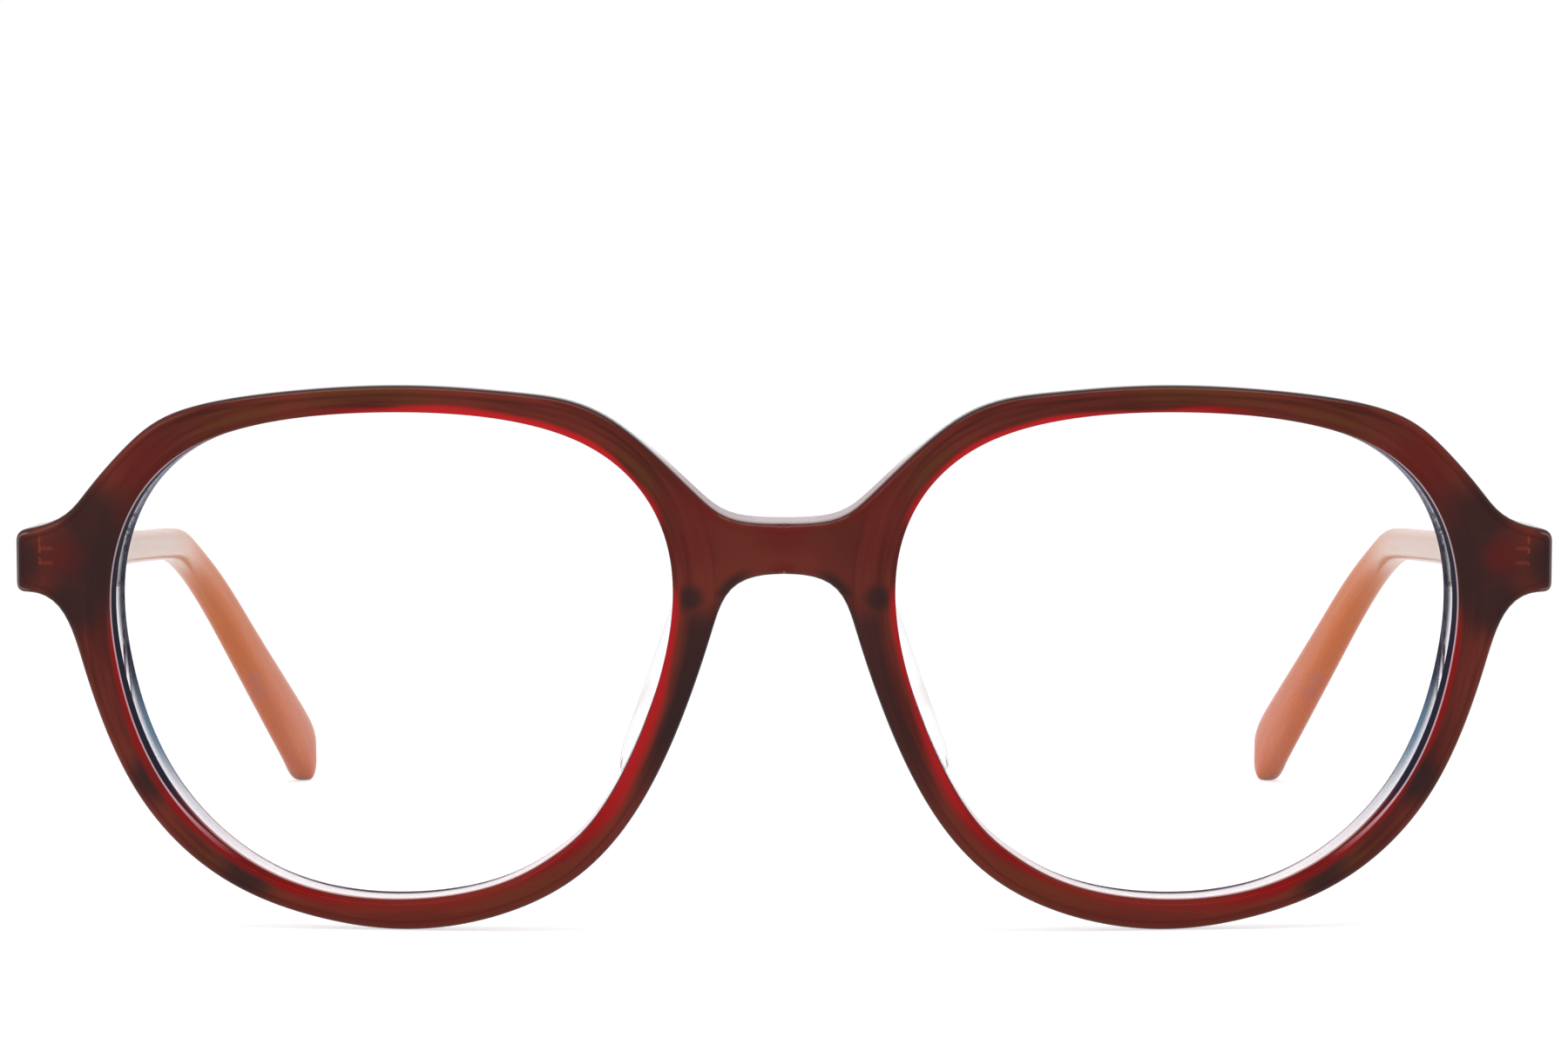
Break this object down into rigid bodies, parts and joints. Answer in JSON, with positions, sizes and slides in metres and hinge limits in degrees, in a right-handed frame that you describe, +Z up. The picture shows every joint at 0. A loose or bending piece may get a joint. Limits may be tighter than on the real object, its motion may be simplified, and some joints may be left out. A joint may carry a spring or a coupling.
{
  "type": "eyeglasses",
  "caption": "Acetate eyeglasses with rounded-square lenses, a saddle bridge, clear glued nose pads and two temples that fold on five-knuckle hinges.",
  "frame": {"origin": "ground point under the middle of the whole bounding box, with the temples open and the glasses standing on the rims and the temple tips", "axes": "+X across the front to the glasses' side whose temple folds last, +Y from the front's face back along the open temples, +Z up"},
  "size_m": [0.1408, 0.1488, 0.0503],
  "materials": {
    "face_acetate": "polished cellulose acetate, translucent brown-red with dark patches",
    "clear_acetate": "polished clear cellulose acetate",
    "temple_acetate": "polished cellulose acetate, translucent peach to orange",
    "lens": "clear coated lens",
    "hinge_steel": "nickel silver, barrelled",
    "wire": "nickel silver wire"
  },
  "bodies": {
    "front": {"front_face_layer": "face_acetate", "front_back_layer": "clear_acetate", "lens_left": "lens", "nose_pad_left": "clear_acetate", "front_hinge_left": "hinge_steel", "hinge_screw_left": "hinge_steel", "lens_right": "lens", "nose_pad_right": "clear_acetate", "front_hinge_right": "hinge_steel", "hinge_screw_right": "hinge_steel"},
    "temple_left": {"temple_left": "temple_acetate", "temple_hinge_left": "hinge_steel", "core_wire_left": "wire"},
    "temple_right": {"temple_right": "temple_acetate", "temple_hinge_right": "hinge_steel", "core_wire_right": "wire"}
  },
  "joints": [
    {"name": "temple_left_fold", "type": "hinge", "parent": "front", "child": "temple_left", "pos_m": [-0.06413, -0.05991, 0.03421], "axis": [0, 0, -1], "range_deg": [0, 87]},
    {"name": "temple_right_fold", "type": "hinge", "parent": "front", "child": "temple_right", "pos_m": [0.06413, -0.05991, 0.03421], "axis": [0, 0, 1], "range_deg": [0, 78]}
  ]
}
